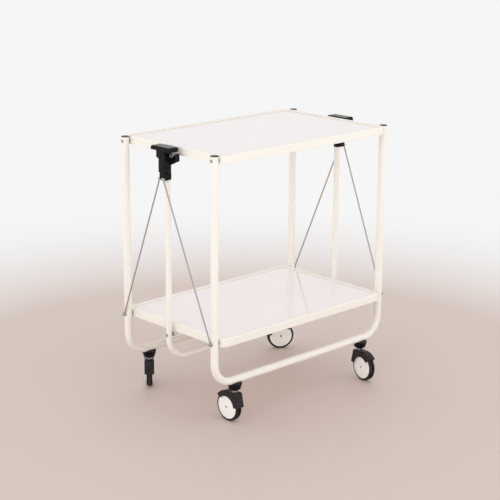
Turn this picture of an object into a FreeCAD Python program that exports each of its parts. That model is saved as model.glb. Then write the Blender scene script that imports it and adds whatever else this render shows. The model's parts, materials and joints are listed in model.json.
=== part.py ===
import FreeCAD, Part
import math
import os
from types import SimpleNamespace

import Sketcher
from FreeCAD import Placement, Rotation, Vector

# Folding tea trolley: three U-shaped tube frames carry two trays that are split lengthwise.
# The middle frame lifts by its two T-handles, the tray halves fold down and the outer frames close up.
# Frame: +Z up, X along the length, front at -Y, origin on the floor under the middle. Millimetres.

# Driving dimensions
SIZES = {
    # Outer frames, front and back
    "post_span": 600,            # post axis to post axis, along X
    "frame_gap": 330,            # front posts to back posts, axis to axis
    "post_tube": 20,             # tube diameter
    "tube_wall": 1.5,            # all three frames
    "bend_radius": 55,           # centre line of the bends, all three frames
    "cap_thickness": 2,
    "cap_plug": 6,
    "cap_bevel": 0.6,
    # Middle frame
    "middle_tube": 15,           # tube diameter
    "middle_offset": 3,          # middle posts stand further out than the outer posts
    "middle_foot_rise": 28,      # middle bottom tube above the outer bottom tubes
    # Trays
    "lower_tray_rise": 100,      # underside above the centre line of the outer bottom tubes
    "tray_spacing": 453,         # lower underside to upper underside
    "tray_width": 370,           # both halves together, along Y
    "rim_height": 21,
    "rim_width": 9,
    "rim_round": 3.2,            # rounding of the rim's upper edges
    "corner_radius": 18,
    "ledge_width": 8,            # ledge that the panel lies on
    "ledge_height": 5,
    "panel_recess": 4,           # panel's top below the rim's top
    "fit_gap": 0.15,             # round a piece that sits in another
    "cut_past": 1,               # cutting tools reach past the faces they open
    "seam_gap": 0.3,             # between the two halves of a tray
    # Pivots
    "pin_diameter": 6,
    "pivot_rise": 9,             # outer pivots above a tray's underside
    "bore_floor": 0.8,           # wall left behind a blind pivot bore
    "lug_drop": 7.5,             # centre pivots below a tray's underside
    "lug_radius": 7.2,
    "lug_thickness": 4,
    "lug_gap": 0.4,              # between the two lugs on one pin
    "rivet_head": 9,
    "rivet_crown": 1.6,          # height of a rivet's head
    "washer_diameter": 13,
    "washer_thickness": 0.8,
    "washer_play": 0.2,          # end play of a tray between its posts, each end
    "spacer_diameter": 11,
    "running_gap": 0.05,         # radial, pins and shafts in their holes
    "side_gap": 0.3,             # between flat faces that pass each other
    # Rods from the collars to the outer posts
    "rod_diameter": 4,
    "rod_eye": 10,               # diameter of the lower eyes
    "rod_eye_width": 4.6,        # eyes, along X
    "rod_top_eye": 8.4,
    "rod_top_head": 6.4,
    "rod_top_crown": 1.2,
    "rod_top_offset": 6.5,       # upper ends from the middle plane
    "rod_top_rise": 3,           # upper ends above the collar's foot
    # T-handles on the middle posts
    "handle_reach": 20,          # body's outer face from the post axis
    "handle_width": 24,
    "handle_drop": 54,           # body below the cross-bar
    "handle_round": 2.5,
    "handle_wall": 1.4,          # round the post
    "handle_lid": 3,             # over the post's end
    "handle_proud": 0.5,         # cross-bar's top above the rims
    "grip_length": 71,           # cross-bar, along Y
    "grip_height": 10.5,
    "grip_inset": 4.5,           # cross-bar's inner edge from the post axis
    "grip_overhang": 4,          # cross-bar's outer edge beyond the body
    "grip_bevel": 5,
    "grip_round": 2.2,
    "bracket_radius": 9,         # hollow rounding under the cross-bar, beside the body
    "bracket_inset": 3.5,        # from the body's outer face
    # Squeeze triggers in the handles
    "trigger_span": 80,
    "trigger_thickness": 6,      # wings, along X
    "trigger_inset": 4,          # inner face from the post axis
    "trigger_foot": 18,          # underside above the handle's foot
    "trigger_height": 17,
    "trigger_tip_rise": 13,      # wing tips' underside above the trigger's underside
    "trigger_tip_height": 17.5,
    "trigger_tip_width": 8,
    "trigger_root": 3,           # wings' upper root beyond the handle's side
    "trigger_plate": 2,          # side plates beside the post
    "trigger_post_gap": 0.7,
    "trigger_bridge": 6.7,       # bar behind the post, along X
    "trigger_gap": 0.4,          # round the trigger in its chamber
    "spring_height": 9,
    "spring_legs": 4,
    "spring_swing": 5,           # strip's turns from the middle plane
    "spring_strip": 2.6,         # strip along Y
    "spring_width": 5.5,         # strip along X
    # Collars that slide on the middle posts
    "collar_height": 17.5,
    "collar_reach": 17.2,
    "collar_wall": 1.7,
    "collar_gap": 1,             # below the handle
    "collar_round": 2.5,
    "collar_edge": 1.2,          # rounding along the top
    "slide_gap": 0.08,
    "rod_gap": 0.4,              # between a collar and the rods' upper eyes
    # Castors
    "castor_inset": 68,          # stem axis from the post axis, along X
    "wheel_diameter": 76,
    "wheel_trail": 19.5,         # stem axis to axle
    "fin_thickness": 2,          # web between the two wheels
    "fin_gap": 0.4,
    "tyre_width": 6.6,
    "tyre_depth": 6,
    "tyre_round": 3.6,
    "tyre_bevel": 0.6,
    "hub_dome": 3,
    "axle_diameter": 6,
    "axle_recess": 0.8,          # axle's ends below the crown of the hubs
    "hood_clearance": 1.8,       # over the tyres
    "hood_wall": 2.6,
    "hood_side": 2,              # hood's sides beyond the crown of the hubs
    "hood_side_wall": 1.8,
    "hood_overlap": 4,           # side walls over the edge of the hubs
    "hood_tail": 42,             # foot of the back plate behind the axle
    "hood_foot": 6,              # foot of the back plate above the axle
    "hood_lean": 8,              # back plate leans in towards its top
    "hood_heel": 6,              # rounding between the top and the back plate
    "hood_round": 4,             # rounding along both sides
    "stem_diameter": 10,
    "stem_depth": 5,             # into the hood
    "stem_head": 2,              # socket left above the stem's top
    "stem_flange": 16,
    "stem_flange_height": 4,
    "socket_height": 18.3,       # up to the tube's underside
    "socket_foot": 14,           # diameters from the foot up
    "socket_waist": 30,
    "socket_brim": 37,
    "socket_waist_height": 4.5,
    "socket_brim_height": 17,
    "socket_lip": 1.5,           # brim above the tube's underside
}

# Where the hoods end in front, degrees above the axle
NOSE_ANGLE = 41

# Where the castors point at rest: from the stem towards the axle, degrees from +X
SWIVELS = {"front_left": 89.5, "front_right": -99, "back_left": 50, "back_right": -33}

# Domed rivet heads: straight edge as a share of the crown, flat top as a share of the head
RIVET_EDGE = 0.4
RIVET_FLAT = 0.6

ENDS = {"left": -1, "right": 1}
SIDES = {"front": -1, "back": 1}


class Size(float):
    """A length that remembers the sheet expression it comes from."""

    def __new__(cls, value, text):
        size = float.__new__(cls, value)
        size.text = text
        return size

    def __add__(self, other):
        return Size(float(self) + float(other), f"({self.text} + {as_text(other)})")

    def __radd__(self, other):
        return Size(float(other) + float(self), f"({as_text(other)} + {self.text})")

    def __sub__(self, other):
        return Size(float(self) - float(other), f"({self.text} - {as_text(other)})")

    def __rsub__(self, other):
        return Size(float(other) - float(self), f"({as_text(other)} - {self.text})")

    def __mul__(self, other):
        return Size(float(self) * float(other), f"({self.text} * {as_text(other)})")

    def __rmul__(self, other):
        return self * other

    def __truediv__(self, other):
        return Size(float(self) / float(other), f"({self.text} / {as_text(other)})")

    def __neg__(self):
        return Size(-float(self), f"(0 - {self.text})")


def as_text(value):
    return value.text if isinstance(value, Size) else repr(float(value))


doc = FreeCAD.newDocument("FoldingTrolley")
sheet = doc.addObject("Spreadsheet::Sheet", "Sizes")
for row, (alias, number) in enumerate(SIZES.items(), start=1):
    sheet.set(f"A{row}", alias)
    sheet.set(f"B{row}", str(number))
    sheet.setAlias(f"B{row}", alias)
doc.recompute()
dim = SimpleNamespace(**{alias: Size(number, f"Sizes.{alias}") for alias, number in SIZES.items()})
nodes = []


# Binding and placing

def bind(thing, prop, value):
    setattr(thing, prop, float(value))
    if isinstance(value, Size):
        thing.setExpression(prop, value.text)


def place(thing, x, y, z, rotation=Rotation()):
    thing.Placement = Placement(Vector(x, y, z), rotation)
    for axis, value in zip("xyz", (x, y, z)):
        if isinstance(value, Size):
            thing.setExpression(f"Placement.Base.{axis}", value.text)
    return thing


def turned(degrees):
    """A turn about the vertical."""
    return Rotation(Vector(0, 0, 1), degrees)


def node(label, thing):
    """Registers a finished sub-part under the name of its file."""
    thing.Label = label
    nodes.append(thing)


# Primitives and booleans

ALONG = {
    "x": Rotation(Vector(0, 1, 0), 90),
    "-x": Rotation(Vector(0, 1, 0), -90),
    "y": Rotation(Vector(1, 0, 0), -90),
    "-y": Rotation(Vector(1, 0, 0), 90),
    "z": Rotation(),
}


def box(x, y, z):
    """A block between the given pairs of x, y and z."""
    block = doc.addObject("Part::Box", "Block")
    for prop, (low, high) in zip(("Length", "Width", "Height"), (x, y, z)):
        bind(block, prop, high - low)
    return place(block, x[0], y[0], z[0])


def bar(axis, radius, start, length):
    """A round bar from start, along the named axis."""
    cylinder = doc.addObject("Part::Cylinder", "Bar")
    bind(cylinder, "Radius", radius)
    bind(cylinder, "Height", length)
    return place(cylinder, *start, ALONG[axis])


def fuse(*pieces):
    union = doc.addObject("Part::MultiFuse", "Union")
    union.Shapes = list(pieces)
    return union


def cut(base, *tools):
    for tool in tools:
        rest = doc.addObject("Part::Cut", "Rest")
        rest.Base = base
        rest.Tool = tool
        base = rest
    return base


def group(*pieces):
    """Separate solids that share one sub-part."""
    several = doc.addObject("Part::Compound", "Group")
    several.Links = list(pieces)
    return several


# Sketch-based features

def new_body():
    return doc.addObject("PartDesign::Body", "Body")


def new_sketch(body, role, height=0.0):
    """A sketch on one of the body's own origin planes, lifted by height along the plane's normal."""
    plane = next(part for part in body.Origin.OriginFeatures if part.Role == role)
    drawing = body.newObject("Sketcher::SketchObject", "Drawing")
    drawing.AttachmentSupport = [(plane, "")]
    drawing.MapMode = "FlatFace"
    drawing.AttachmentOffset = Placement(Vector(0, 0, height), Rotation())
    if isinstance(height, Size):
        drawing.setExpression("AttachmentOffset.Base.z", height.text)
    return drawing


def measure(drawing, constraint, value):
    index = drawing.addConstraint(constraint)
    if isinstance(value, Size):
        drawing.setExpression(f"Constraints[{index}]", value.text)


def hold(drawing, geometry, end, x, y):
    """Fixes one end of a sketch edge at x, y."""
    for kind, axis, value in (("DistanceX", -2, x), ("DistanceY", -1, y)):
        if abs(value) < 1e-9:
            drawing.addConstraint(Sketcher.Constraint("PointOnObject", geometry, end, axis))
        else:
            measure(drawing, Sketcher.Constraint(kind, -1, 1, geometry, end, float(value)), value)


def arc_between(centre, radius, start, end):
    """An arc from start, counter-clockwise to end."""
    angles = [math.atan2(point[1] - centre[1], point[0] - centre[0]) for point in (start, end)]
    return Part.ArcOfCircle(Part.Circle(Vector(*centre, 0), Vector(0, 0, 1), radius), *angles)


def outline(drawing, points, arcs={}):
    """A closed outline through the points; an arc, given by centre and radius, may replace a line."""
    count = len(points)
    for i, point in enumerate(points):
        after = points[(i + 1) % count]
        if i in arcs:
            drawing.addGeometry(arc_between(*arcs[i], point, after))
        else:
            drawing.addGeometry(Part.LineSegment(Vector(*point, 0), Vector(*after, 0)))
    for i in range(count):
        drawing.addConstraint(Sketcher.Constraint("Coincident", i, 2, (i + 1) % count, 1))
    for i, point in enumerate(points):
        hold(drawing, i, 1, *point)
    for i, (centre, radius) in arcs.items():
        measure(drawing, Sketcher.Constraint("Radius", i, float(radius)), radius)


def pad(body, drawing, length, midplane=False):
    block = body.newObject("PartDesign::Pad", "Pad")
    block.Profile = drawing
    bind(block, "Length", length)
    block.Midplane = midplane
    return block


def pocket_up(body, drawing):
    """Cuts away all that lies above the drawing."""
    hole = body.newObject("PartDesign::Pocket", "Pocket")
    hole.Profile = drawing
    hole.Type = "ThroughAll"
    hole.Reversed = True
    return hole


def rounded(body, feature, radius, wanted):
    """Rounds those edges of the feature that the test accepts."""
    doc.recompute()
    names = [f"Edge{i}" for i, edge in enumerate(feature.Shape.Edges, start=1) if wanted(edge)]
    smooth = body.newObject("PartDesign::Fillet", "Round")
    smooth.Base = (feature, names)
    bind(smooth, "Radius", radius)
    return smooth


def prism(role, points, length, arcs={}):
    """An outline on an origin plane, padded along the plane's normal."""
    body = new_body()
    drawing = new_sketch(body, role)
    outline(drawing, points, arcs)
    pad(body, drawing, length)
    return body


def lathe(points, arcs={}):
    """A solid of revolution about Z from an outline of radius and height."""
    body = new_body()
    drawing = new_sketch(body, "XZ_Plane")
    outline(drawing, points, arcs)
    spin = body.newObject("PartDesign::Revolution", "Revolution")
    spin.Profile = drawing
    spin.ReferenceAxis = (drawing, ["V_Axis"])
    spin.Angle = 360
    return body


def ring(inner, outer, length):
    return lathe([(inner, 0.0), (outer, 0.0), (outer, length), (inner, length)])


def rivet(shank):
    """A pin with a domed head above the shank."""
    head = dim.rivet_head / 2
    top = shank + dim.rivet_crown
    edge = shank + dim.rivet_crown * RIVET_EDGE
    return lathe([(0.0, 0.0), (pin_radius, 0.0), (pin_radius, shank), (head, shank), (head, edge),
                  (head * RIVET_FLAT, top), (0.0, top)])


# Edge tests

def upright(edge):
    first, last = edge.Vertexes[0].Point, edge.Vertexes[-1].Point
    return math.hypot(first.x - last.x, first.y - last.y) < 1e-6 < abs(first.z - last.z)


def every(edge, axis, value):
    """True if both ends of the edge have the given coordinate."""
    return all(abs(getattr(vertex.Point, axis) - value) < 1e-6 for vertex in edge.Vertexes)


# Shared places
half_span = dim.post_span / 2
half_gap = dim.frame_gap / 2
post_radius = dim.post_tube / 2
post_face = half_span + post_radius
pin_radius = dim.pin_diameter / 2
pin_hole = pin_radius + dim.running_gap
wheel_radius = dim.wheel_diameter / 2
hood_radius = wheel_radius + dim.hood_clearance + dim.hood_wall
hood_top = wheel_radius + hood_radius
socket_base = hood_top + dim.side_gap + dim.stem_flange_height
foot_height = socket_base + dim.socket_height + post_radius
lower_tray = foot_height + dim.lower_tray_rise
upper_tray = lower_tray + dim.tray_spacing
rim_top = upper_tray + dim.rim_height
tray_end = half_span - post_radius - dim.washer_thickness - dim.washer_play
half_width = dim.tray_width / 2
middle_x = half_span + dim.middle_offset
middle_radius = dim.middle_tube / 2
middle_foot = foot_height + dim.middle_foot_rise
grip_top = rim_top + dim.handle_proud
grip_foot = grip_top - dim.grip_height
handle_foot = grip_foot - dim.handle_drop
handle_wrap = middle_radius + dim.running_gap + dim.handle_wall
collar_top = handle_foot - dim.collar_gap
collar_foot = collar_top - dim.collar_height
collar_face = middle_x + dim.collar_reach
outer_pivots = {"lower": lower_tray + dim.pivot_rise, "upper": upper_tray + dim.pivot_rise}
centre_pivots = {"lower": lower_tray - dim.lug_drop, "upper": upper_tray - dim.lug_drop}


# Tube frames

def u_tube(half, diameter, foot, top):
    """A tube bent to a U in the XZ plane, open at its two upper ends."""
    body = new_body()
    bend = dim.bend_radius
    path = new_sketch(body, "XZ_Plane")
    corners = {1: (bend - half, foot + bend), 3: (half - bend, foot + bend)}
    points = [(-half, top), (-half, foot + bend), (bend - half, foot),
              (half - bend, foot), (half, foot + bend), (half, top)]
    for i in range(5):
        if i in corners:
            path.addGeometry(arc_between(corners[i], bend, points[i], points[i + 1]))
        else:
            path.addGeometry(Part.LineSegment(Vector(*points[i], 0), Vector(*points[i + 1], 0)))
    for i in range(4):
        path.addConstraint(Sketcher.Constraint("Tangent", i, 2, i + 1, 1))
    for kind, line in (("Vertical", 0), ("Horizontal", 2), ("Vertical", 4)):
        path.addConstraint(Sketcher.Constraint(kind, line))
    for i in corners:
        measure(path, Sketcher.Constraint("Radius", i, float(bend)), bend)
    hold(path, 0, 1, *points[0])
    hold(path, 4, 2, *points[5])
    measure(path, Sketcher.Constraint("DistanceY", -1, 1, 2, 1, float(foot)), foot)
    section = new_sketch(body, "XY_Plane", top)
    for i, radius in enumerate((diameter / 2, diameter / 2 - dim.tube_wall)):
        section.addGeometry(Part.Circle(Vector(-half, 0, 0), Vector(0, 0, 1), radius))
        measure(section, Sketcher.Constraint("Radius", i, float(radius)), radius)
        hold(section, i, 3, -half, 0.0)
    pipe = body.newObject("PartDesign::AdditivePipe", "Pipe")
    pipe.Profile = section
    pipe.Spine = (path, [f"Edge{i}" for i in range(1, 6)])
    return body


def drilled(tube, half, heights):
    """The tube with cross-holes for pins through both of its posts."""
    reach = half + dim.post_tube
    return cut(tube, *[bar("x", pin_hole, (-reach, 0.0, z), reach * 2) for z in heights.values()])


def outward(sign):
    return ALONG["x" if sign > 0 else "-x"]


def outer_frame(side, y):
    top = rim_top - dim.cap_thickness
    tube = u_tube(half_span, dim.post_tube, foot_height, top)
    node(f"{side}_tube", place(drilled(tube, half_span, outer_pivots), 0, y, 0))
    plug = post_radius - dim.tube_wall - dim.fit_gap
    height = dim.cap_plug + dim.cap_thickness
    cap = [(0.0, 0.0), (plug, 0.0), (plug, dim.cap_plug), (post_radius, dim.cap_plug),
           (post_radius, height - dim.cap_bevel), (post_radius - dim.cap_bevel, height), (0.0, height)]
    pin_end = tray_end - dim.rim_width + dim.bore_floor + dim.side_gap
    rod_space = dim.rod_eye_width + dim.side_gap * 2
    caps, rivets, washers = [], [], []
    for sign in ENDS.values():
        caps.append(place(lathe(cap), sign * half_span, y, top - dim.cap_plug))
        for level, z in outer_pivots.items():
            shank = post_face - pin_end
            if level == "lower":
                shank = shank + rod_space
            rivets.append(place(rivet(shank), sign * pin_end, y, z, outward(sign)))
            washer = ring(pin_hole, dim.washer_diameter / 2, dim.washer_thickness)
            washers.append(place(washer, sign * (tray_end + dim.washer_play), y, z, outward(sign)))
    node(f"{side}_post_caps", group(*caps))
    node(f"{side}_pivot_rivets", group(*rivets))
    node(f"{side}_pivot_washers", group(*washers))


def middle_frame():
    tube = u_tube(middle_x, dim.middle_tube, middle_foot, grip_foot - dim.side_gap)
    node("middle_tube", drilled(tube, middle_x, centre_pivots))
    pin_end = tray_end - dim.lug_thickness * 2 - dim.lug_gap * 2
    face = middle_x + middle_radius
    spacer_end = tray_end + dim.side_gap
    seats = {"lower": middle_x - middle_radius, "upper": middle_x - handle_wrap}
    pins, spacers = [], []
    for sign in ENDS.values():
        headed = rivet(face - pin_end)
        plain = bar("z", pin_radius, (0.0, 0.0, 0.0), face - dim.side_gap - pin_end)
        for level, pin in (("lower", headed), ("upper", plain)):
            z = centre_pivots[level]
            pins.append(place(pin, sign * pin_end, 0, z, outward(sign)))
            sleeve = ring(pin_hole, dim.spacer_diameter / 2, seats[level] - dim.running_gap - spacer_end)
            spacers.append(place(sleeve, sign * spacer_end, 0, z, outward(sign)))
    node("centre_pivot_pins", group(*pins))
    node("centre_spacers", group(*spacers))


# Trays: each half is a rim with lugs and a panel that lies in it; back halves are front halves turned round

def lug(x):
    """A plate under the rim, from x on, round the centre pivot."""
    thickness = (x, x + dim.lug_thickness)
    web = box(thickness, (-dim.lug_radius, -dim.seam_gap / 2), (-dim.lug_drop, dim.ledge_height / 2))
    return fuse(web, bar("x", dim.lug_radius, (x, 0.0, -dim.lug_drop), dim.lug_thickness))


def rim_half():
    seam = -dim.seam_gap / 2
    well_x = tray_end - dim.rim_width
    well_y = half_width - dim.rim_width
    body = new_body()
    plan = new_sketch(body, "XY_Plane")
    outline(plan, [(-tray_end, -half_width), (tray_end, -half_width), (tray_end, seam), (-tray_end, seam)])
    block = pad(body, plan, dim.rim_height)
    rounded(body, block, dim.corner_radius, lambda edge: upright(edge) and every(edge, "y", -half_width))
    well = new_sketch(body, "XY_Plane", dim.ledge_height)
    outline(well, [(-well_x, -well_y), (well_x, -well_y), (well_x, 0.0), (-well_x, 0.0)])
    sunk = pocket_up(body, well)
    rounded(body, sunk, dim.corner_radius - dim.rim_width,
            lambda edge: upright(edge) and every(edge, "y", -well_y))
    light_x = well_x - dim.ledge_width
    light_y = well_y - dim.ledge_width
    light_seam = seam - dim.ledge_width
    light = new_sketch(body, "XY_Plane")
    outline(light, [(-light_x, -light_y), (light_x, -light_y), (light_x, light_seam), (-light_x, light_seam)])
    frame = pocket_up(body, light)
    rounded(body, frame, dim.rim_round,
            lambda edge: every(edge, "z", dim.rim_height) and not every(edge, "y", seam))
    return body


def tray_half(name, z, degrees):
    inner_lug = tray_end - dim.lug_thickness * 2 - dim.lug_gap
    depth = dim.rim_width - dim.bore_floor
    reach = tray_end + dim.cut_past
    bores = [bar("x", pin_hole, (-reach, 0.0, -dim.lug_drop), reach * 2)]
    for sign in ENDS.values():
        bore = bar("z", pin_hole, (0.0, 0.0, 0.0), depth + dim.cut_past)
        bores.append(place(bore, sign * (tray_end - depth), -half_gap, dim.pivot_rise, outward(sign)))
    rim = cut(fuse(rim_half(), lug(-tray_end), lug(inner_lug)), *bores)
    node(f"{name}_rim", place(rim, 0, 0, z, turned(degrees)))
    edge_x = tray_end - dim.rim_width - dim.fit_gap
    edge_y = half_width - dim.rim_width - dim.fit_gap
    seam = -dim.seam_gap / 2
    panel = new_body()
    plan = new_sketch(panel, "XY_Plane")
    outline(plan, [(-edge_x, -edge_y), (edge_x, -edge_y), (edge_x, seam), (-edge_x, seam)])
    sheet_block = pad(panel, plan, dim.rim_height - dim.panel_recess - dim.ledge_height)
    rounded(panel, sheet_block, dim.corner_radius - dim.rim_width - dim.fit_gap,
            lambda edge: upright(edge) and every(edge, "y", -edge_y))
    node(f"{name}_panel", place(panel, 0, 0, z + dim.ledge_height, turned(degrees)))


# Handles, triggers, springs and collars: made for the right end and turned round for the left

slot_end = middle_x - dim.trigger_inset + dim.trigger_thickness + dim.trigger_gap
plate_inner = middle_radius + dim.trigger_post_gap
plate_outer = plate_inner + dim.trigger_plate
bridge_end = plate_inner + dim.trigger_bridge
trigger_foot = handle_foot + dim.trigger_foot
trigger_top = trigger_foot + dim.trigger_height
chamber_top = trigger_top + dim.spring_height


def symmetric(half):
    return (-half, half)


def grip():
    """The cross-bar, bevelled at its ends and rounded above."""
    half = dim.grip_length / 2
    flat = half - dim.grip_bevel
    shoulder = grip_top - dim.grip_bevel
    body = new_body()
    profile = new_sketch(body, "YZ_Plane")
    outline(profile, [(-half, grip_foot), (half, grip_foot), (half, shoulder),
                      (flat, grip_top), (-flat, grip_top), (-half, shoulder)])
    block = pad(body, profile, dim.grip_inset + dim.handle_reach + dim.grip_overhang)
    ends = rounded(body, block, dim.grip_round, upright)
    rounded(body, ends, dim.grip_round, lambda edge: every(edge, "z", grip_top))
    return place(body, middle_x - dim.grip_inset, 0, 0)


def post_block(reach, foot, top, radius, edge_radius=None):
    """A block on the outside of a middle post, with its outer corners, and its top if asked, rounded."""
    half = dim.handle_width / 2
    body = new_body()
    plan = new_sketch(body, "XY_Plane")
    outline(plan, [(0.0, -half), (reach, -half), (reach, half), (0.0, half)])
    block = pad(body, plan, top - foot)
    corners = rounded(body, block, radius, lambda edge: upright(edge) and every(edge, "x", reach))
    if edge_radius:
        rounded(body, corners, edge_radius,
                lambda edge: every(edge, "z", top - foot) and not every(edge, "x", 0.0))
    return place(body, middle_x, 0, foot)


def bracket(lid):
    """Hollow-rounded brackets that carry the cross-bar on both sides of the body."""
    side = dim.handle_width / 2
    radius = dim.bracket_radius
    wide = side + radius
    low = grip_foot - radius
    points = [(-wide, lid), (wide, lid), (wide, grip_foot), (side, low), (-side, low), (-wide, grip_foot)]
    depth = middle_x + dim.handle_reach - dim.bracket_inset - slot_end
    return place(prism("YZ_Plane", points, depth, {2: ((wide, low), radius), 4: ((-wide, low), radius)}),
                 slot_end, 0, 0)


def handle(end, degrees):
    lid = grip_foot + dim.handle_lid
    wrap = bar("z", handle_wrap, (middle_x, 0.0, handle_foot), lid - handle_foot)
    block = post_block(dim.handle_reach, handle_foot, lid, dim.handle_round)
    bore_foot = handle_foot - dim.cut_past
    bore = bar("z", middle_radius + dim.running_gap, (middle_x, 0.0, bore_foot), grip_foot - bore_foot)
    pin = bar("x", pin_hole, (middle_x - dim.handle_reach, 0.0, centre_pivots["upper"]), dim.handle_reach)
    inner = middle_x - dim.trigger_inset - dim.trigger_gap
    height = (trigger_foot - dim.trigger_gap, chamber_top)
    chamber = box((inner, middle_x + bridge_end + dim.trigger_gap),
                  symmetric(plate_outer + dim.trigger_gap), height)
    slot = box((inner, slot_end), symmetric(dim.handle_width), height)
    shell = cut(fuse(grip(), bracket(lid), block, wrap), bore, pin, chamber, slot)
    node(f"handle_{end}", place(shell, 0, 0, 0, turned(degrees)))


def wing(sign):
    """One finger wing of a trigger, rising to its tip."""
    side = dim.handle_width / 2
    tip = dim.trigger_span / 2
    tip_foot = trigger_foot + dim.trigger_tip_rise
    tip_top = tip_foot + dim.trigger_tip_height
    points = [(plate_inner, trigger_foot), (side, trigger_foot), (tip, tip_foot), (tip, tip_top),
              (tip - dim.trigger_tip_width, tip_top), (side + dim.trigger_root, trigger_top),
              (plate_inner, trigger_top)]
    blade = prism("YZ_Plane", [(sign * y, z) for y, z in points], dim.trigger_thickness)
    return place(blade, middle_x - dim.trigger_inset, 0, 0)


def trigger(end, degrees):
    length = (middle_x - dim.trigger_inset, middle_x + bridge_end)
    height = (trigger_foot, trigger_top)
    bridge = box((middle_x + plate_inner, length[1]), symmetric(plate_outer), height)
    plates = [box(length, sides, height)
              for sides in ((plate_inner, plate_outer), (-plate_outer, -plate_inner))]
    node(f"trigger_{end}", place(fuse(wing(1), wing(-1), bridge, *plates), 0, 0, 0, turned(degrees)))


def trigger_spring(end, degrees):
    """A strip folded to and fro between the trigger's bridge and the top of the chamber."""
    legs = SIZES["spring_legs"]
    near, far = [], []
    for i in range(legs + 1):
        middle = dim.spring_swing if i % 2 else -dim.spring_swing
        z = trigger_top + dim.spring_height * (i / legs)
        near.append((middle - dim.spring_strip / 2, z))
        far.append((middle + dim.spring_strip / 2, z))
    strip = prism("YZ_Plane", far + near[::-1], dim.spring_width)
    offset = middle_x + bridge_end - dim.spring_width - dim.trigger_gap
    node(f"trigger_spring_{end}", turn_end(place(strip, offset, 0, 0), degrees))


def turn_end(piece, degrees):
    """A piece that has a place of its own, turned to the given end."""
    return place(group(piece), 0, 0, 0, turned(degrees))


def collar(end, degrees):
    block = post_block(dim.collar_reach, collar_foot, collar_top, dim.collar_round, dim.collar_edge)
    bore_radius = middle_radius + dim.slide_gap
    wrap = bar("z", bore_radius + dim.collar_wall, (middle_x, 0.0, collar_foot), dim.collar_height)
    bore = bar("z", bore_radius, (middle_x, 0.0, collar_foot - dim.cut_past),
               dim.collar_height + dim.cut_past * 2)
    node(f"collar_{end}", place(cut(fuse(block, wrap), bore), 0, 0, 0, turned(degrees)))


# Rods

def rod(name, sign, side):
    """A rod with an eye on the lower rivet and a riveted eye on the collar."""
    low = (sign * (post_face + dim.side_gap), side * half_gap, outer_pivots["lower"])
    high = (sign * (collar_face + dim.rod_gap), side * dim.rod_top_offset, collar_foot + dim.rod_top_rise)
    width = dim.rod_eye_width
    eye = place(ring(pin_hole, dim.rod_eye / 2, width), *low, outward(sign))
    crown = width + dim.rod_top_crown
    top_eye = lathe([(0.0, 0.0), (dim.rod_top_eye / 2, 0.0), (dim.rod_top_eye / 2, width),
                     (dim.rod_top_head / 2, crown), (0.0, crown)])
    place(top_eye, *high, outward(sign))
    reach = Vector(*high) - Vector(*low)
    into_eye = (pin_hole + dim.rod_eye / 2) / 2
    shaft = bar("z", dim.rod_diameter / 2, (0.0, 0.0, 0.0), reach.Length - into_eye)
    start = Vector(*low) + Vector(sign * width / 2, 0, 0) + reach.normalize() * into_eye
    shaft.Placement = Placement(start, Rotation(Vector(0, 0, 1), reach))
    node(f"{name}_rod", fuse(eye, top_eye, shaft))


# Castors: local x runs from the stem towards the axle

def hood_shell(half):
    """The hood's outside: an arc over the wheels, a flat top under the stem and a leaning back."""
    axle = (dim.wheel_trail, wheel_radius)
    nose = math.radians(NOSE_ANGLE)
    tip = [centre + hood_radius * share for centre, share in zip(axle, (math.cos(nose), math.sin(nose)))]
    tail = dim.wheel_trail - dim.hood_tail
    heel = tail + dim.hood_lean
    body = new_body()
    profile = new_sketch(body, "XZ_Plane")
    outline(profile, [axle, tip, (axle[0], hood_top), (heel, hood_top), (tail, wheel_radius + dim.hood_foot)],
            {1: (axle, hood_radius)})
    block = pad(body, profile, half * 2, midplane=True)
    bent = rounded(body, block, dim.hood_heel,
                   lambda edge: every(edge, "x", heel) and every(edge, "z", hood_top))

    def outside(edge):
        ends = [vertex.Point for vertex in edge.Vertexes]
        clear_of_axle = all(math.dist((end.x, end.z), axle) > dim.hood_foot for end in ends)
        return clear_of_axle and (every(edge, "y", half) or every(edge, "y", -half))

    rounded(body, bent, dim.hood_round, outside)
    return body


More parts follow.
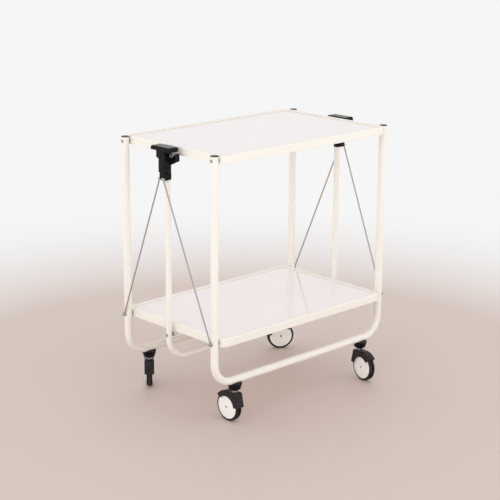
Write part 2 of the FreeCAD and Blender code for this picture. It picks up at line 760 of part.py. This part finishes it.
def castor(corner, x, y, degrees):
    axle_radius = dim.axle_diameter / 2
    hub_radius = wheel_radius - dim.tyre_depth
    stem_radius = dim.stem_diameter / 2
    fin = dim.fin_thickness / 2
    inner = fin + dim.fin_gap
    crown = dim.tyre_width + dim.hub_dome
    half = inner + crown + dim.hood_side
    spot = (dim.wheel_trail, wheel_radius)

    def across(radius, start, end):
        """A round bar on the axle's line between two places across the castor."""
        return bar("y", radius, (spot[0], start, spot[1]), end - start)

    # Hood
    chamber = wheel_radius + dim.hood_clearance
    window = hub_radius - dim.hood_overlap
    hollows = []
    for sign in (-1, 1):
        for radius, depth in ((chamber, half - dim.hood_side_wall), (window, half + dim.cut_past)):
            start, end = sorted((sign * fin, sign * depth))
            hollows.append(across(radius, start, end))
    web = across(hub_radius, -fin, fin)
    axle_hole = across(axle_radius + dim.running_gap, -half, half)
    stem_bore = bar("z", stem_radius + dim.running_gap, (0.0, 0.0, hood_top - dim.stem_depth),
                    dim.stem_depth + dim.cut_past)
    hood = cut(fuse(cut(hood_shell(half), *hollows), web), axle_hole, stem_bore)
    node(f"{corner}_hood", place(hood, x, y, 0, turned(degrees)))

    # Wheel pair on its axle
    axle_half = inner + crown - dim.axle_recess
    axle = group(across(axle_radius, -axle_half, axle_half))
    node(f"{corner}_axle", place(axle, x, y, 0, turned(degrees)))
    dome = (hub_radius * hub_radius + dim.hub_dome * dim.hub_dome) / (dim.hub_dome * 2)
    hub_hole = axle_radius + dim.running_gap
    dome_centre = float(crown - dome)
    dome_edge = dome_centre + math.sqrt(dome ** 2 - hub_hole ** 2)
    rim_radius = hub_radius - dim.running_gap
    rim_edge = dome_centre + math.sqrt(dome ** 2 - rim_radius ** 2)
    hub = [(hub_hole, 0.0), (rim_radius, 0.0), (rim_radius, rim_edge), (hub_hole, dome_edge)]
    bend = dim.tyre_round
    tyre = [(hub_radius, 0.0), (wheel_radius - dim.tyre_bevel, 0.0), (wheel_radius, dim.tyre_bevel),
            (wheel_radius, dim.tyre_width - bend), (wheel_radius - bend, dim.tyre_width),
            (hub_radius, dim.tyre_width)]
    shapes = {"hubs": (hub, {2: ((0.0, dome_centre), dome)}),
              "tyres": (tyre, {3: ((wheel_radius - bend, dim.tyre_width - bend), bend)})}
    for name, (points, arcs) in shapes.items():
        pair = [place(lathe(points, arcs), spot[0], sign * inner, spot[1], ALONG["y" if sign > 0 else "-y"])
                for sign in (-1, 1)]
        node(f"{corner}_{name}", place(group(*pair), x, y, 0, turned(degrees)))

    # Stem and its socket under the tube
    stem_base = hood_top - dim.stem_depth + dim.side_gap
    flange_foot = dim.stem_depth
    flange_top = flange_foot + dim.stem_flange_height
    stem_top = flange_top + dim.socket_height - dim.stem_head
    flange = dim.stem_flange / 2
    stem = lathe([(0.0, 0.0), (stem_radius, 0.0), (stem_radius, flange_foot), (flange, flange_foot),
                  (flange, flange_top), (stem_radius, flange_top), (stem_radius, stem_top), (0.0, stem_top)])
    node(f"{corner}_stem", place(stem, x, y, stem_base))
    brim = dim.socket_brim / 2
    lip = dim.socket_height + dim.socket_lip
    hole = stem_radius + dim.running_gap
    cup = lathe([(hole, 0.0), (dim.socket_foot / 2, 0.0), (dim.socket_waist / 2, dim.socket_waist_height),
                 (brim, dim.socket_brim_height), (brim, lip), (hole, lip)])
    tube_axis = dim.socket_height + post_radius
    saddle = bar("x", post_radius + dim.running_gap, (-dim.socket_brim, 0.0, tube_axis), dim.socket_brim * 2)
    node(f"{corner}_socket", place(cut(cup, saddle), x, y, socket_base))


# The whole trolley
middle_frame()
for end, sign in ENDS.items():
    degrees = 0 if sign > 0 else 180
    handle(end, degrees)
    trigger(end, degrees)
    trigger_spring(end, degrees)
    collar(end, degrees)
for side, sign in SIDES.items():
    degrees = 0 if sign < 0 else 180
    outer_frame(side, sign * half_gap)
    tray_half(f"lower_{side}", lower_tray, degrees)
    tray_half(f"upper_{side}", upper_tray, degrees)
    for end, end_sign in ENDS.items():
        corner = f"{side}_{end}"
        rod(corner, end_sign, sign)
        castor(corner, end_sign * (half_span - dim.castor_inset), sign * half_gap, SWIVELS[corner])
doc.recompute()

# Check every object, then write one file for each sub-part
for thing in doc.Objects:
    if "Invalid" in thing.State or "Error" in thing.State:
        raise RuntimeError(f"{thing.Label} failed: {thing.State}")
for thing in nodes:
    if thing.Shape.isNull() or not thing.Shape.isValid():
        raise RuntimeError(f"{thing.Label} has no valid shape")
os.makedirs("parts", exist_ok=True)
for thing in nodes:
    thing.Shape.exportStep(f"parts/{thing.Label}.step")
    extent = thing.Shape.BoundBox
    print(f"{thing.Label}: {len(thing.Shape.Solids)} solids, {thing.Shape.Volume:.0f} mm3, "
          f"x {extent.XMin:.1f} {extent.XMax:.1f}, y {extent.YMin:.1f} {extent.YMax:.1f}, "
          f"z {extent.ZMin:.1f} {extent.ZMax:.1f}")
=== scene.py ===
import json
import math

import bpy
from mathutils import Matrix, Vector

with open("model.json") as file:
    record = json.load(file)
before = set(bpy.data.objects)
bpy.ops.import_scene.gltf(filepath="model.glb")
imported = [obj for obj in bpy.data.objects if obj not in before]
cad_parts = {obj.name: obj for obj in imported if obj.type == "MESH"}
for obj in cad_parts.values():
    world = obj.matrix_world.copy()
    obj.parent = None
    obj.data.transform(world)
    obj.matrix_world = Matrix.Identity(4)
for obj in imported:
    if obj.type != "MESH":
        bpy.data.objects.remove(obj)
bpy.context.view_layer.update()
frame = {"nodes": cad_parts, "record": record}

# Camera, as the photograph was taken: metres, degrees, and a square image
CAMERA_PLACE = Vector((-2.4909, -2.5598, 1.3544))
CAMERA_YAW = -43.95
CAMERA_PITCH = 15.43
CAMERA_ROLL = -0.37
CAMERA_LENS = 101.8
SENSOR_WIDTH = 36.0

# Colours, linear, each with the shade that it turns to where it is dull, dusty or worn
CREAM = (0.890, 0.850, 0.785)
CREAM_WARM = (0.884, 0.842, 0.774)
CREAM_WORN = (0.850, 0.800, 0.715)
LAMINATE = (0.905, 0.830, 0.822)
LAMINATE_DULL = (0.890, 0.815, 0.805)
BLACK = (0.0045, 0.0040, 0.0050)
BLACK_DUSTY = (0.0090, 0.0080, 0.0085)
BLACK_WORN = (0.030, 0.028, 0.028)
# Castor hood greys: real dust and wear, on a base lifted above black as painted sheen for their glossy
# faces
CHARCOAL_PAINTED_SHEEN = (0.022, 0.018, 0.020)
CHARCOAL_DUSTY_PAINTED_SHEEN = (0.034, 0.029, 0.030)
CHARCOAL_WORN_PAINTED_SHEEN = (0.055, 0.050, 0.050)
STEEL = (0.52, 0.515, 0.51)
STEEL_DARK = (0.44, 0.435, 0.43)
RUBBER = (0.010, 0.0095, 0.010)
RUBBER_DUSTY = (0.045, 0.040, 0.036)
HUB = (0.95, 0.930, 0.905)
HUB_DULL = (0.92, 0.893, 0.860)
FLOOR = (0.670, 0.555, 0.507)
WHITE = (0.92, 0.915, 0.918)

# Light that falls on the trolley from its sides and from above, and how bright the backdrop looks
SIDE_LIGHT = 1.55
TOP_LIGHT = 0.65
BACKDROP_WHITE = 0.92

# Lamps: place, width and watts, and the point that they all face
LAMPS = {
    "key": ((-3.2, -0.5, 1.0), 2.4, 11),
    "fill": ((0.5, -3.2, 1.2), 2.4, 9),
}
LAMP_AIM = Vector((0, 0, 0.35))

# Floor: its radius and sides, and how far out its colour starts and ends fading to white, metres
FLOOR_RADIUS = 9.0
FLOOR_SIDES = 96
FADE_START = 0.9
FADE_END = 2.0

# Rounding of sharp moulded and pressed edges, metres, and the rays that feel for an edge
EDGE_ROUND = 0.0008
EDGE_RAYS = 6


# Node helpers

class Shader:
    """A new material with its principled shader and a few ready-made steps."""

    def __init__(self, name):
        self.material = bpy.data.materials.new(name)
        self.material.use_nodes = True
        self.nodes = self.material.node_tree.nodes
        self.links = self.material.node_tree.links
        self.principled = self.nodes["Principled BSDF"]
        self.place = self.nodes.new("ShaderNodeTexCoord").outputs["Object"]
        self.soft = self.nodes.new("ShaderNodeBevel")
        self.soft.samples = EDGE_RAYS
        self.soft.inputs["Radius"].default_value = EDGE_ROUND

    def set(self, **values):
        """Sets shader inputs that are the same all over the surface."""
        for name, value in values.items():
            self.principled.inputs[name.replace("_", " ")].default_value = value

    def link(self, source, target):
        """Feeds a shader input that changes over the surface."""
        self.links.new(source, self.principled.inputs[target])

    def stretched(self, scale):
        """The place on the surface, scaled along each axis so that a noise turns into streaks."""
        mapping = self.nodes.new("ShaderNodeMapping")
        mapping.inputs["Scale"].default_value = scale
        self.links.new(self.place, mapping.inputs["Vector"])
        return mapping.outputs["Vector"]

    def noise(self, scale, detail=2.0, roughness=0.5, vector=None):
        """A grey noise, with scale its number of waves in a metre."""
        texture = self.nodes.new("ShaderNodeTexNoise")
        texture.inputs["Scale"].default_value = scale
        texture.inputs["Detail"].default_value = detail
        texture.inputs["Roughness"].default_value = roughness
        self.links.new(vector or self.place, texture.inputs["Vector"])
        return texture.outputs["Fac"]

    def ramp(self, source, low, high, start=0.35, end=0.65):
        """Turns a grey value into a number or a colour between low and high."""
        if isinstance(low, tuple):
            step = self.nodes.new("ShaderNodeValToRGB")
            for stop, place, colour in zip(step.color_ramp.elements, (start, end), (low, high)):
                stop.position = place
                stop.color = (*colour, 1)
            self.links.new(source, step.inputs["Fac"])
            return step.outputs["Color"]
        step = self.nodes.new("ShaderNodeMapRange")
        for name, value in (("From Min", start), ("From Max", end), ("To Min", low), ("To Max", high)):
            step.inputs[name].default_value = value
        self.links.new(source, step.inputs["Value"])
        return step.outputs["Result"]

    def edges(self, start=0.80, end=0.96):
        """One on a sharp edge and zero on a face: how far the rounded normal leans away."""
        lean = self.nodes.new("ShaderNodeVectorMath")
        lean.operation = "DOT_PRODUCT"
        self.links.new(self.soft.outputs["Normal"], lean.inputs[0])
        self.links.new(self.nodes.new("ShaderNodeNewGeometry").outputs["Normal"], lean.inputs[1])
        return self.ramp(lean.outputs["Value"], low=1.0, high=0.0, start=start, end=end)

    def mix(self, factor, low, high):
        """Mixes two colours, each a socket or a plain colour."""
        blend = self.nodes.new("ShaderNodeMix")
        blend.data_type = "RGBA"
        self.links.new(factor, blend.inputs["Factor"])
        for name, colour in (("A", low), ("B", high)):
            socket = next(s for s in blend.inputs if s.name == name and s.type == "RGBA")
            if isinstance(colour, tuple):
                socket.default_value = (*colour, 1)
            else:
                self.links.new(colour, socket)
        return next(s for s in blend.outputs if s.type == "RGBA")

    def bump(self, height, strength, distance):
        """Fine relief on top of the rounded edges, with distance in metres."""
        step = self.nodes.new("ShaderNodeBump")
        step.inputs["Strength"].default_value = strength
        step.inputs["Distance"].default_value = distance
        self.links.new(height, step.inputs["Height"])
        self.links.new(self.soft.outputs["Normal"], step.inputs["Normal"])
        self.link(step.outputs["Normal"], "Normal")


# Materials

def cream_enamel():
    """Glossy stove enamel on the tubes and rims, a little darker where its edges are worn."""
    paint = Shader("cream_enamel")
    tone = paint.ramp(paint.noise(scale=30, detail=8, roughness=0.7), CREAM, CREAM_WARM, start=0.3, end=0.8)
    paint.link(paint.mix(paint.edges(), tone, CREAM_WORN), "Base Color")
    paint.link(paint.ramp(paint.noise(scale=40, detail=3), low=0.20, high=0.26), "Roughness")
    paint.bump(paint.noise(scale=420, detail=1), strength=0.02, distance=0.0004)
    paint.set(Coat_Weight=0.3, Coat_Roughness=0.10)
    return paint.material


def white_laminate():
    """Polished panels with faint scuffs along their length."""
    sheet = Shader("white_laminate")
    sheet.link(sheet.ramp(sheet.noise(scale=5, detail=4), LAMINATE, LAMINATE_DULL), "Base Color")
    scuffs = sheet.noise(scale=60, detail=6, roughness=0.7, vector=sheet.stretched(scale=(1, 6, 1)))
    sheet.link(sheet.ramp(scuffs, low=0.08, high=0.17), "Roughness")
    sheet.bump(sheet.noise(scale=400, detail=2), strength=0.02, distance=0.0004)
    sheet.set(Coat_Weight=0.7, Coat_Roughness=0.05)
    return sheet.material


def dark_plastic(name, clean, dusty, worn):
    """Moulded plastic with dust on its faces and lighter, rubbed edges."""
    moulded = Shader(name)
    tone = moulded.ramp(moulded.noise(scale=60, detail=4), clean, dusty)
    moulded.link(moulded.mix(moulded.edges(), tone, worn), "Base Color")
    moulded.link(moulded.ramp(moulded.noise(scale=150, detail=4), low=0.10, high=0.20), "Roughness")
    moulded.bump(moulded.noise(scale=1600, detail=2), strength=0.06, distance=0.0003)
    moulded.set(Specular_IOR_Level=0.12)
    return moulded.material


def bright_steel():
    """Drawn steel with fine lines along its height."""
    metal = Shader("bright_steel")
    drawn = metal.noise(scale=900, detail=3, roughness=0.6, vector=metal.stretched(scale=(1, 1, 0.03)))
    metal.link(metal.ramp(drawn, STEEL_DARK, STEEL), "Base Color")
    metal.link(metal.ramp(drawn, low=0.18, high=0.26), "Roughness")
    metal.bump(drawn, strength=0.03, distance=0.0002)
    metal.set(Metallic=1.0)
    return metal.material


def black_rubber():
    """Matt tyres with patches of dust."""
    tyre = Shader("black_rubber")
    dust = tyre.ramp(tyre.noise(scale=80, detail=5), RUBBER, RUBBER_DUSTY, start=0.45, end=0.85)
    tyre.link(dust, "Base Color")
    tyre.link(tyre.ramp(tyre.noise(scale=200, detail=3), low=0.5, high=0.75), "Roughness")
    tyre.bump(tyre.noise(scale=1500, detail=3), strength=0.2, distance=0.0004)
    tyre.set(Specular_IOR_Level=0.3)
    return tyre.material


def white_plastic():
    """Glossy hubs with a few duller patches."""
    hub = Shader("white_plastic")
    hub.link(hub.ramp(hub.noise(scale=45, detail=4), HUB, HUB_DULL, start=0.5, end=0.9), "Base Color")
    hub.link(hub.ramp(hub.noise(scale=120, detail=3), low=0.18, high=0.32), "Roughness")
    hub.bump(hub.noise(scale=900, detail=2), strength=0.04, distance=0.0003)
    hub.set(Coat_Weight=0.6, Coat_Roughness=0.10)
    return hub.material


def seen(nodes, links):
    """One for what the camera, gloss and glass see, zero for the light that falls on things."""
    path = nodes.new("ShaderNodeLightPath")
    total = path.outputs["Is Camera Ray"]
    for ray in ("Is Glossy Ray", "Is Transmission Ray"):
        step = nodes.new("ShaderNodeMath")
        step.operation = "MAXIMUM"
        links.new(total, step.inputs[0])
        links.new(path.outputs[ray], step.inputs[1])
        total = step.outputs["Value"]
    return total


def pale_floor():
    """Warm and pale round the trolley, fading to the white of the backdrop further out."""
    floor = Shader("pale_floor")
    reach = floor.nodes.new("ShaderNodeVectorMath")
    reach.operation = "LENGTH"
    floor.links.new(floor.place, reach.inputs[0])
    away = floor.ramp(reach.outputs["Value"], low=0.0, high=1.0, start=FADE_START, end=FADE_END)
    floor.link(floor.mix(away, FLOOR, WHITE), "Base Color")
    floor.set(Roughness=0.6)

    glow = floor.nodes.new("ShaderNodeEmission")
    glow.inputs["Strength"].default_value = BACKDROP_WHITE
    share = floor.nodes.new("ShaderNodeMath")
    share.operation = "MULTIPLY"
    floor.links.new(away, share.inputs[0])
    floor.links.new(seen(floor.nodes, floor.links), share.inputs[1])
    blend = floor.nodes.new("ShaderNodeMixShader")
    floor.links.new(share.outputs["Value"], blend.inputs["Fac"])
    floor.links.new(floor.principled.outputs["BSDF"], blend.inputs[1])
    floor.links.new(glow.outputs["Emission"], blend.inputs[2])
    floor.links.new(blend.outputs["Shader"], floor.nodes["Material Output"].inputs["Surface"])
    return floor.material


# Each node takes the finish of its material slot, but the castor hoods are greyer, with their grey painted
# in as sheen

finishes = {
    "cream_enamel": cream_enamel(),
    "white_laminate": white_laminate(),
    "black_plastic": dark_plastic("black_plastic", BLACK, BLACK_DUSTY, BLACK_WORN),
    "castor_plastic_painted_sheen": dark_plastic("castor_plastic_painted_sheen", CHARCOAL_PAINTED_SHEEN, CHARCOAL_DUSTY_PAINTED_SHEEN, CHARCOAL_WORN_PAINTED_SHEEN),
    "bright_steel": bright_steel(),
    "black_rubber": black_rubber(),
    "white_plastic": white_plastic(),
}
for part in frame["record"]["subparts"]:
    mesh = frame["nodes"][part["node"]].data
    finish = "castor_plastic_painted_sheen" if part["node"].endswith("_hood") else part["material_slot"]
    mesh.materials.clear()
    mesh.materials.append(finishes[finish])


# Floor, light and camera

def add_floor():
    """A round plain floor, level with the bottom of the wheels."""
    bpy.ops.mesh.primitive_circle_add(vertices=FLOOR_SIDES, radius=FLOOR_RADIUS, fill_type="NGON")
    floor = bpy.context.object
    floor.name = "floor"
    floor.data.materials.append(pale_floor())


def add_lamp(name, place, size, power):
    """A soft lamp that lights the trolley but doesn't show as a bright patch in its glossy panels."""
    lamp = bpy.data.lights.new(name, "AREA")
    lamp.size = size
    lamp.energy = power
    holder = bpy.data.objects.new(name, lamp)
    holder.visible_glossy = False
    holder.location = place
    holder.rotation_euler = (LAMP_AIM - Vector(place)).to_track_quat("-Z", "Y").to_euler()
    bpy.context.scene.collection.objects.link(holder)


def add_world():
    """Soft light, more from the sides than from above, and a plain white backdrop all round."""
    world = bpy.data.worlds.new("studio")
    world.use_nodes = True
    nodes, links = world.node_tree.nodes, world.node_tree.links
    height = nodes.new("ShaderNodeSeparateXYZ")
    links.new(nodes.new("ShaderNodeTexCoord").outputs["Generated"], height.inputs["Vector"])
    level = nodes.new("ShaderNodeMapRange")
    level.inputs["To Min"].default_value = SIDE_LIGHT
    level.inputs["To Max"].default_value = TOP_LIGHT
    links.new(height.outputs["Z"], level.inputs["Value"])
    light = nodes["Background"]
    links.new(level.outputs["Result"], light.inputs["Strength"])
    backdrop = nodes.new("ShaderNodeBackground")
    backdrop.inputs["Strength"].default_value = BACKDROP_WHITE
    for shade in (light, backdrop):
        shade.inputs["Color"].default_value = (1, 1, 1, 1)
    blend = nodes.new("ShaderNodeMixShader")
    links.new(seen(nodes, links), blend.inputs["Fac"])
    links.new(light.outputs["Background"], blend.inputs[1])
    links.new(backdrop.outputs["Background"], blend.inputs[2])
    links.new(blend.outputs["Shader"], nodes["World Output"].inputs["Surface"])
    bpy.context.scene.world = world


def add_camera():
    """A camera that looks along its yaw and pitch, and leans by its roll."""
    yaw, pitch, roll = (math.radians(a) for a in (CAMERA_YAW, CAMERA_PITCH, CAMERA_ROLL))
    forward = Vector((-math.sin(yaw) * math.cos(pitch), math.cos(yaw) * math.cos(pitch), -math.sin(pitch)))
    level = Vector((math.cos(yaw), math.sin(yaw), 0))
    down = forward.cross(level)
    right = level * math.cos(roll) + down * math.sin(roll)
    up = level * math.sin(roll) - down * math.cos(roll)
    camera = bpy.data.cameras.new("camera")
    camera.sensor_width = SENSOR_WIDTH
    camera.lens = CAMERA_LENS
    holder = bpy.data.objects.new("camera", camera)
    turn = Matrix((right, up, -forward)).transposed().to_4x4()
    holder.matrix_world = Matrix.Translation(CAMERA_PLACE) @ turn
    bpy.context.scene.collection.objects.link(holder)
    bpy.context.scene.camera = holder


add_floor()
add_world()
for name, (place, size, power) in LAMPS.items():
    add_lamp(name, place, size, power)
add_camera()
bpy.context.scene.view_settings.view_transform = "Standard"
